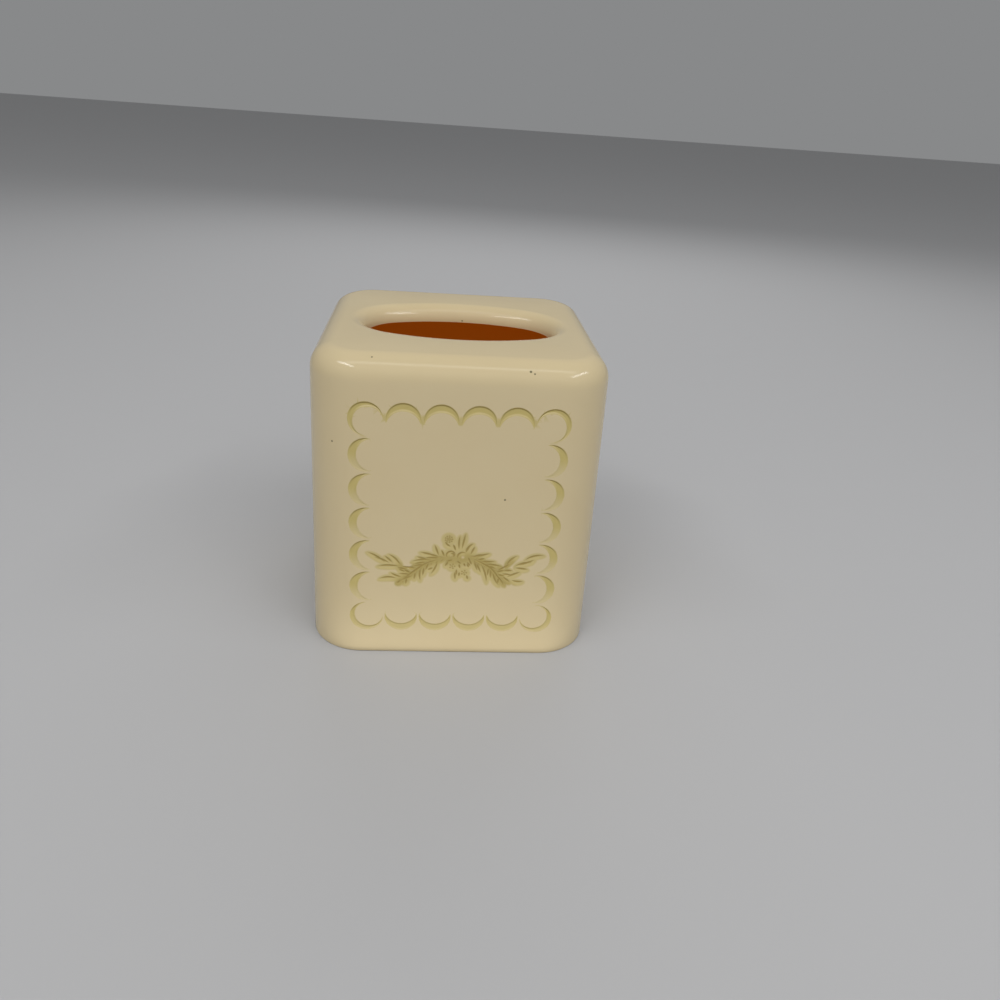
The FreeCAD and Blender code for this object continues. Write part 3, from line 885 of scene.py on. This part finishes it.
def guard_points():
    """A point just outside each rim point, which keeps the shading of a groove's edge tight."""
    push = np.zeros((len(rim_numbers), 2))
    for start, end in rims:
        du, dv = grooves[end][:2] - grooves[start][:2]
        for corner in (start, end):
            push[rim_order[corner]] += (dv, -du)
    push /= np.linalg.norm(push, axis=1, keepdims=True)
    return rim_points + RIM_GUARD * push


def lattice(spacing):
    """Points of a square lattice inside the panel."""
    us = np.arange(PANEL_U[0] + spacing, PANEL_U[-1] - spacing / 2, spacing)
    vs = np.arange(PANEL_LOW + spacing, PANEL_HIGH - spacing / 2, spacing)
    return [(u, v) for u in us for v in vs]


def between_rims(u, v):
    """How closely a point lies between two rims, 1 where they almost touch."""
    here = Vector((u, v, 0))
    near = [(found - here, gap) for found, _, gap in rim_lookup.find_range(here, CUSP_REACH) if gap > 0]
    if not near:
        return 0.0
    first, first_gap = min(near, key=lambda item: item[1])
    across = [gap for way, gap in near if way.normalized().dot(first.normalized()) < OPPOSITE]
    return max(0.0, 1 - (first_gap + min(across)) / CUSP_REACH) if across else 0.0


def near_leaves(spacing, near, far):
    """Lattice points at some distance from the leaves."""
    return [spot for spot in lattice(spacing)
            if near <= stamp_gap(leaf_stamp, *spot) < far and clear_of_rims(*spot, RIM_ROOM)]


def in_cusp(u, v):
    """Whether a place is in a cusp of the upper border."""
    return v > corner_high and stamp_gap(leaf_stamp, u, v) > WASH_REACH and between_rims(u, v) > 0


loose = [spot for spot in guard_points() if clear_of_rims(*spot, GUARD_ROOM)]
loose += near_leaves(FINE, 0.0, FINE_REACH) + near_leaves(MEDIUM, FINE_REACH, MEDIUM_REACH)
loose += near_leaves(COARSE, MEDIUM_REACH, math.inf)
loose += [spot for spot in lattice(CUSP_STEP) if in_cusp(*spot) and clear_of_rims(*spot, RIM_ROOM)]
print(f"loose points: {len(loose)}")

# %% [markdown]
# ## Carve the front
#
# A constrained Delaunay triangulation joins all these points. It takes the rims of the scallops as fixed
# edges, so every groove starts on a clean line, which a plain grid could not give. Each point then looks up
# under itself: where a leaf's stamp lies below it, the point sinks to the stamp.

# %% Triangulate and carve the front panel
SAME_POINT = 1e-6
edge_points = frame_points()
sheet = [Vector(spot) for spot in edge_points] + [Vector(spot) for spot in rim_points]
sheet += [Vector(spot) for spot in loose]
rim_start = len(edge_points)
lines = [(number, (number + 1) % rim_start) for number in range(rim_start)]
lines += [(rim_order[start] + rim_start, rim_order[end] + rim_start) for start, end in rims]
cut = delaunay_2d_cdt(sheet, lines, [], 0, SAME_POINT)
panel_flat = np.array([(spot.x, spot.y) for spot in cut[0]])
panel_faces = [tuple(face) for face in cut[2] if not in_groove(*panel_flat[list(face)].mean(axis=0))]
leaf_depth, vein_depth = (np.array([stamp_depth(stamp, *spot) for spot in panel_flat])
                          for stamp in (leaf_stamp, vein_stamp))
panel_depth = np.maximum(leaf_depth, vein_depth)
leaf_gap, stem_gap = (np.array([stamp_gap(stamp, *spot) for spot in panel_flat])
                      for stamp in (leaf_stamp, stem_stamp))
panel_cusp = np.array([between_rims(*spot) for spot in panel_flat])
print(f"front panel: {len(panel_flat)} points, {len(panel_faces)} triangles, "
      f"carved to {panel_depth.max():.2f} mm")

# %% [markdown]
# ## The moulding round it
#
# The rest of the cover is one closed skin: it goes up the outside, over the top edge, across the top, down
# the rolled lip, back along the inside and under the rim. Each stop on that way is a ring. On the walls the
# ring is a rounded square, and on the lip it is an oval of four arcs. All rings have the same number of
# points, so neighbours join with plain four-sided faces, and the carved panel takes the place of some.

# %% Outlines of the rings


def ring_layout():
    """The anchor and the outward direction of each point of a rounded square, from the front's left."""
    turns = np.arange(CORNER_STEPS) * (math.pi / 2 / CORNER_STEPS)
    anchors = np.concatenate([np.stack([flat_stops[:-1], np.full(FLAT_STEPS, -FLAT)], axis=1),
                              np.tile([FLAT, -FLAT], (CORNER_STEPS, 1))])
    outward = np.concatenate([np.tile([0.0, -1.0], (FLAT_STEPS, 1)),
                              np.stack([np.sin(turns), -np.cos(turns)], axis=1)])
    quarter = np.array([[0, 1], [-1, 0]])
    spins = [np.linalg.matrix_power(quarter, number) for number in range(4)]
    return tuple(np.concatenate([side @ spin for spin in spins]) for side in (anchors, outward))


ANCHORS, OUTWARD = ring_layout()


def square_ring(inset, height):
    """A rounded square, inset from the outline of the base."""
    spots = ANCHORS + (CORNER_RADIUS - inset) * OUTWARD
    return np.column_stack([spots, np.full(len(spots), height)])


def oval_layout(directions):
    """The point and the outward direction of the slot's oval in each direction from its middle."""
    end = SLOT_HALF_LENGTH - SLOT_END_RADIUS
    half = SLOT_HALF_WIDTH
    sweep = ((SLOT_HALF_LENGTH ** 2 + half ** 2 - 2 * SLOT_HALF_LENGTH * SLOT_END_RADIUS)
             / (2 * (half - SLOT_END_RADIUS)))
    drop = sweep - half
    way = np.abs(directions)
    reach_end = way[:, 0] * end + np.sqrt((way[:, 0] * end) ** 2 - end ** 2 + SLOT_END_RADIUS ** 2)
    reach_side = -way[:, 1] * drop + np.sqrt((way[:, 1] * drop) ** 2 - drop ** 2 + sweep ** 2)
    at_end = way * reach_end[:, None]
    on_end = (at_end[:, 0] - end) * drop > at_end[:, 1] * end
    centre = np.where(on_end[:, None], [[end, 0.0]], [[0.0, -drop]])
    spots = np.where(on_end[:, None], at_end, way * reach_side[:, None])
    normals = spots - centre
    normals /= np.linalg.norm(normals, axis=1, keepdims=True)
    signs = np.where(directions < 0, -1.0, 1.0)
    return spots * signs, normals * signs


print(f"rings of {len(ANCHORS)} points")

# %% [markdown]
# ## Stack the rings
#
# The inside is the outside moved in by the thickness of the wall. The rounded top edge of both turns about
# one centre, and so does the rolled lip, so the wall stays even all the way, as a moulder would want it.

# %% Rings of the moulding
EASE_STEPS, EDGE_STEPS, ROLL_STEPS = 4, 12, 14
FOOT_HEIGHT = 2.0
INSIDE_ROWS = 14


def top_profile(radius):
    """The rounded edge of the top, as insets and heights, about the centre that inside and outside share."""
    slope = math.atan(DRAFT_INSET / HEIGHT)
    height = HEIGHT - TOP_RADIUS
    tangent_height = height + TOP_RADIUS * math.sin(slope)
    centre = inset_at(tangent_height) + TOP_RADIUS * math.cos(slope)
    turns = np.linspace(slope, math.pi / 2, EDGE_STEPS + 1)
    return centre - radius * np.cos(turns), height + radius * np.sin(turns)


def moulding_rings():
    """All the rings, the numbers of the panel's lowest and highest, and a mask of the inside."""
    ease = np.linspace(0, math.pi / 2, EASE_STEPS + 1)
    rings = [square_ring(RIM_EASE * (1 - math.sin(turn)), RIM_EASE * (1 - math.cos(turn))) for turn in ease]
    rings.append(square_ring(inset_at(FOOT_HEIGHT), FOOT_HEIGHT))
    low = len(rings)
    rings += [square_ring(inset_at(height), height) for height in PANEL_V]
    high = len(rings) - 1
    rings += [square_ring(*stop) for stop in zip(*top_profile(TOP_RADIUS))]

    edge = rings[-1][:, :2]
    oval, normals = oval_layout(edge / np.linalg.norm(edge, axis=1, keepdims=True))

    def oval_ring(shift, height):
        """The slot's oval, moved in towards its middle."""
        return np.column_stack([oval - shift * normals, np.full(len(oval), height)])

    roll = np.linspace(0, math.pi / 2, ROLL_STEPS + 1)
    roll_low = HEIGHT - LIP_RADIUS
    lip_inner = LIP_RADIUS - WALL
    rings += [oval_ring(LIP_RADIUS * math.sin(turn), roll_low + LIP_RADIUS * math.cos(turn))
              for turn in roll]
    rings.append(oval_ring(LIP_RADIUS, roll_low - LIP_LAND))
    inside_start = len(rings)
    rings.append(oval_ring(lip_inner, roll_low - LIP_LAND))
    rings += [oval_ring(lip_inner * math.sin(turn), roll_low + lip_inner * math.cos(turn))
              for turn in roll[::-2]]

    rings += [square_ring(*stop) for stop in list(zip(*top_profile(TOP_RADIUS - WALL)))[::-1]]
    rings += [square_ring(inset_at(height) + WALL, height)
              for height in np.linspace(PANEL_HIGH, FOOT_HEIGHT, INSIDE_ROWS)]
    rings += [square_ring(WALL - RIM_EASE * (1 - math.sin(turn)), RIM_EASE * (1 - math.cos(turn)))
              for turn in ease[::-1]]
    inside = np.zeros((len(rings), len(ANCHORS)))
    inside[inside_start:] = 1.0
    return np.array(rings), low, high, inside.ravel()


RINGS, LOW_RING, HIGH_RING, INSIDE = moulding_rings()
print(f"moulding: {RINGS.shape[0]} rings of {RINGS.shape[1]} points")

# %% [markdown]
# ## Put the moulding together
#
# The ring faces, the carved panel and the floors of the grooves become one mesh. Points that lie on each
# other are merged, which closes the seams. Edges that bend sharply, such as the lower rim of the lip, stay
# crisp, and all others are shaded smoothly.

# %% Helpers for joining
SEAM_REACH, RIM_REACH = 2e-3, 5e-5
SHARP_ANGLE = 50


def ring_faces():
    """Four-sided faces between rings, all round and back to the first, without the panel's place."""
    total, count = RINGS.shape[:2]
    panel_columns = {column % count for column in range(-PANEL_STEPS, FLAT_STEPS + PANEL_STEPS)}
    faces = []
    for ring in range(total):
        for column in range(count):
            if LOW_RING <= ring < HIGH_RING and column in panel_columns:
                continue
            after, beside = (ring + 1) % total, (column + 1) % count
            faces.append((ring * count + column, ring * count + beside, after * count + beside,
                          after * count + column))
    return faces


def smooth_step(values, low, high):
    """A soft rise from 0 at the low value to 1 at the high one."""
    share = np.clip((values - low) / (high - low), 0, 1)
    return share * share * (3 - 2 * share)


def set_mask(thing, name, values):
    """Keep one number for each point of a mesh."""
    layer = thing.data.attributes.new(name, "FLOAT", "POINT")
    layer.data.foreach_set("value", np.asarray(values, dtype=np.float32))


def close_seams(thing, reach):
    """Merge points that lie within a reach of each other, drop loose ones and shade smoothly."""
    work = bmesh.new()
    work.from_mesh(thing.data)
    bmesh.ops.remove_doubles(work, verts=work.verts, dist=reach * MM)
    bmesh.ops.delete(work, geom=[vertex for vertex in work.verts if not vertex.link_faces], context="VERTS")
    open_edges = sum(1 for edge in work.edges if not edge.is_manifold)
    work.to_mesh(thing.data)
    work.free()
    thing.data.polygons.foreach_set("use_smooth", [True] * len(thing.data.polygons))
    thing.data.set_sharp_from_angle(angle=math.radians(SHARP_ANGLE))
    return open_edges


print("helpers for joining ready")

# %% Join the rings, the panel and the grooves
panel_points = wall_points(panel_flat[:, 0], panel_flat[:, 1], panel_depth)
groove_points = wall_points(grooves[:, 0], grooves[:, 1], -grooves[:, 2])
ring_total, panel_total, groove_total = len(INSIDE), len(panel_flat), len(grooves)
shell_points, shell_faces, inside = joined([
    (RINGS.reshape(-1, 3), ring_faces(), INSIDE), (panel_points, panel_faces, np.zeros(panel_total)),
    (groove_points, groove_faces, np.zeros(groove_total))])
cover = mesh_object("cover_moulding", shell_points, shell_faces)
print(f"moulding joined: {len(shell_points)} points, {len(shell_faces)} faces")

# %% [markdown]
# ## Where the colour stayed, and the painted shade in the veins
#
# Colour was rubbed over the carving and wiped off the surface. A thin wash is left round each leaf, stronger
# near the stems, and a dense line in each vein, darker where the vein is deeper; that darkening is partly
# colour kept in the carving and partly painted shade. The cusps of the upper border kept some too. Each of
# these is worked out from a distance or a depth and goes on the mesh as a mask, which is sharper than a
# painted picture and needs no unwrapping.

# %% Masks of the moulding
STEM_REACH = 3.5
LEAF_WASH, STEM_WASH, GROOVE_WASH = 0.75, 0.2, 0.5
CUSP_WASH, CUSP_RANGE, CUSP_FADE = 0.8, (0.1, 0.5), (10, 5)
VEIN_LINE_AND_SHADE, STEM_LINE, LINE_AND_SHADE_RANGE = 0.85, 0.4, (0.1, 0.9)

near_leaf = 1 - smooth_step(leaf_gap, 0.0, WASH_REACH)
near_stem = 1 - smooth_step(stem_gap, 0.0, STEM_REACH)
upper = smooth_step(panel_flat[:, 1], corner_high - CUSP_FADE[0], corner_high - CUSP_FADE[1])
cusp = smooth_step(panel_cusp, *CUSP_RANGE) * upper
panel_wash = np.maximum((LEAF_WASH + STEM_WASH * near_stem) * near_leaf, CUSP_WASH * cusp)
# Veins are painted darker where they are deeper, partly colour kept in the carving and partly painted shade.
deep = smooth_step(vein_depth / VEIN_DEPTH, *LINE_AND_SHADE_RANGE)
panel_line_and_shade = np.maximum(VEIN_LINE_AND_SHADE * deep, STEM_LINE * near_stem * near_leaf)
groove_wash = np.full(groove_total, GROOVE_WASH)
set_mask(cover, "inside", inside)
set_mask(cover, "wash", np.concatenate([np.zeros(ring_total), panel_wash, groove_wash]))
set_mask(cover, "line", np.concatenate([np.zeros(ring_total), panel_line_and_shade, np.zeros(groove_total)]))
cover.data.materials.append(CREAM_PLASTIC)
open_edges = close_seams(cover, SEAM_REACH)
print(f"cover: {len(cover.data.polygons)} faces, open edges after closing: {open_edges}")

# %% [markdown]
# ## The colour in the scallops
#
# Each scallop holds a skin of olive colour that lies on the groove's floor and walls. It is the groove's own
# sheet, raised a little off the floor, with the groove under it as its back. Walls that face down are painted
# in dark olive, as painted shade, and walls that face up are painted paler, as painted light.

# %% Colour skins of the border
FILL_SHARE, BACK_SHARE = 0.72, 0.97
PAINTED_SHADE_FACING, PAINTED_LIGHT_FACING = (0.05, 0.4), (0.1, 0.5)
PAINTED_LIGHT_SHARE = 0.6


def colour_skin(name, points, faces, kept):
    """A closed skin between the groove and a sheet a little above it."""
    depth = -points[:, 2]
    face_side = wall_points(points[:, 0], points[:, 1], FILL_SHARE * depth)
    back_side = wall_points(points[:, 0], points[:, 1], BACK_SHARE * depth)
    back_faces = [face[::-1] for face in faces]
    skin_points, skin_faces, strength = joined([(face_side, faces, kept), (back_side, back_faces, kept)])
    thing = mesh_object(name, skin_points, skin_faces)
    normals = np.array([item.vector for item in thing.data.vertex_normals])
    slope = np.tile(normals[:len(points), 2], 2)
    # Painted shade on walls that face down, and painted light, a thinner wash, on walls that face up.
    painted_shade = smooth_step(-slope, *PAINTED_SHADE_FACING)
    painted_light = smooth_step(slope, *PAINTED_LIGHT_FACING)
    set_mask(thing, "wash", strength * (1 - PAINTED_LIGHT_SHARE * painted_light))
    set_mask(thing, "line", strength * painted_shade)
    thing.data.materials.append(OLIVE_FILL)
    open_edges = close_seams(thing, RIM_REACH)
    print(f"{name}: {len(thing.data.polygons)} faces, open edges after closing: {open_edges}")
    return thing


pieces = {"cover_shell": cover}
for name, scallops in BORDER.items():
    pieces[f"{name}_scallop_fill"] = colour_skin(f"{name}_scallops", *scallops)

# %% [markdown]
# ## Ride on the part
#
# Each piece stands for one node of the part, whose own mesh is hidden, and moves with its body.

# %% Tie the pieces to the part
for node, piece in pieces.items():
    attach(piece, "root")
    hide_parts(node)
    print(piece.name, "stands for", node)

# %% [markdown]
# ## The floor
#
# A plain pale floor takes the soft shadow. It lies a hair below the rim, so that the two never share a plane.

# %% Floor
FLOOR_HALF = 6000.0
FLOOR_DROP = 0.05
FLOOR_COLOUR, FLOOR_ROUGHNESS = on_screen(186, 186, 187), 0.9

corners = [(-FLOOR_HALF, -FLOOR_HALF), (FLOOR_HALF, -FLOOR_HALF), (FLOOR_HALF, FLOOR_HALF),
           (-FLOOR_HALF, FLOOR_HALF)]
floor = mesh_object("floor", [(x, y, -FLOOR_DROP) for x, y in corners], [range(len(corners))])
floor_paint = bpy.data.materials.new("pale_floor")
floor_paint.use_nodes = True
floor_shader = floor_paint.node_tree.nodes["Principled BSDF"]
floor_shader.inputs["Base Color"].default_value = FLOOR_COLOUR
floor_shader.inputs["Roughness"].default_value = FLOOR_ROUGHNESS
floor.data.materials.append(floor_paint)
print("floor:", floor.name)

# %% [markdown]
# ## Light
#
# A broad softbox above and in front gives most of the light. Gloss would mirror it as a flat sheen over the
# whole top, so it is hidden from reflections, and narrow lamps draw the highlights in its place: a strip for
# the soft band along the top edge and the lip, and one lamp at each side for the glints at the corners. A
# lamp behind lights the other sides. A pale floor throws light back up at the foot of a wall, and a small
# lamp that lies on the floor adds to that. The sky is even, and where the camera or a reflection would see
# it, a plain grey takes its place. The levels are plain: the cream comes out a little darker than written.

# %% Lamps, with places and sizes in metres and powers in watts
TARGET = Vector((0.0, 0.0, 0.07))


def soft_lamp(name, place, width, height, power, mirrored=True, aim=TARGET):
    """A rectangular area lamp that looks at a point, and that gloss mirrors or not."""
    data = bpy.data.lights.new(name, "AREA")
    data.shape = "RECTANGLE"
    data.size = width
    data.size_y = height
    data.energy = power
    lamp = bpy.data.objects.new(name, data)
    lamp.location = place
    lamp.visible_glossy = mirrored
    lamp.visible_camera = False
    lamp.rotation_euler = (Vector(aim) - Vector(place)).to_track_quat("-Z", "Y").to_euler()
    bpy.context.scene.collection.objects.link(lamp)
    return lamp


soft_lamp("front_softbox", place=(0.0, -1.3, 1.55), width=2.6, height=1.4, power=17.8, mirrored=False)
soft_lamp("strip_lamp", place=(0.0, -0.45, 1.4), width=1.6, height=0.2, power=1.7)
soft_lamp("left_lamp", place=(-0.7, -0.6, 1.3), width=0.9, height=0.07, power=3.0)
soft_lamp("right_lamp", place=(0.9, -0.55, 1.2), width=1.0, height=0.07, power=3.0)
soft_lamp("back_lamp", place=(0.15, 1.1, 0.8), width=1.2, height=0.6, power=3.6, mirrored=False)
FLOOR_PLACE = Vector((0.0, -0.099, 0.001))
soft_lamp("floor_bounce", place=FLOOR_PLACE, width=0.14, height=0.06, power=0.017, mirrored=False,
          aim=FLOOR_PLACE + UP)

# %% Sky
SKY_TINT, SKY_STRENGTH = (0.98, 0.99, 1.0, 1.0), 0.28
SEEN_GREY = on_screen(136, 137, 138)


def open_sky(strength, seen_colour):
    """An even sky. The camera and reflections see a plain colour in its place."""
    sky = bpy.data.worlds.new("sky")
    sky.use_nodes = True
    tree = sky.node_tree
    light = tree.nodes["Background"]
    light.inputs["Strength"].default_value = strength
    light.inputs["Color"].default_value = SKY_TINT
    plain = add(tree, "ShaderNodeBackground", {"Color": seen_colour, "Strength": 1.0})
    path = add(tree, "ShaderNodeLightPath")
    seen = maths(tree, "MAXIMUM", path.outputs["Is Camera Ray"], path.outputs["Is Glossy Ray"])
    seen = maths(tree, "MAXIMUM", seen, path.outputs["Is Transmission Ray"])
    choice = add(tree, "ShaderNodeMixShader", {0: seen, 1: light.outputs[0], 2: plain.outputs[0]})
    tree.links.new(choice.outputs[0], tree.nodes["World Output"].inputs["Surface"])
    return sky


bpy.context.scene.world = open_sky(SKY_STRENGTH, SEEN_GREY)
bpy.context.scene.view_settings.view_transform = "Standard"
print("sky:", bpy.context.scene.world.name, "at", SKY_STRENGTH)

# %% [markdown]
# ## Camera
#
# The camera stands where the photograph was taken: a little left of the middle, looking down, and rolled a
# few degrees, with a lens that gives the same convergence of the walls.

# %% Camera
AZIMUTH, ELEVATION, ROLL = (math.radians(angle) for angle in (-5.617, 26.943, 4.314))
CAMERA_DISTANCE = 0.4302
SENSOR_WIDTH, FOCAL_LENGTH = 36.0, 28.92
AIM = Vector((0.02547, 0.0, 0.0493))
back = Vector((math.sin(AZIMUTH) * math.cos(ELEVATION), -math.cos(AZIMUTH) * math.cos(ELEVATION),
               math.sin(ELEVATION)))
lens = bpy.data.cameras.new("camera")
lens.sensor_width = SENSOR_WIDTH
lens.lens = FOCAL_LENGTH
camera = bpy.data.objects.new("camera", lens)
camera.location = AIM + CAMERA_DISTANCE * back
right = Vector((math.cos(AZIMUTH), math.sin(AZIMUTH), 0.0))
up = back.cross(right)
rolled_right = math.cos(ROLL) * right + math.sin(ROLL) * up
rolled_up = math.cos(ROLL) * up - math.sin(ROLL) * right
camera.rotation_mode = "QUATERNION"
camera.rotation_quaternion = Matrix((rolled_right, rolled_up, back)).transposed().to_quaternion()
bpy.context.scene.collection.objects.link(camera)
bpy.context.scene.camera = camera
print("camera at", [round(part, 3) for part in camera.location])
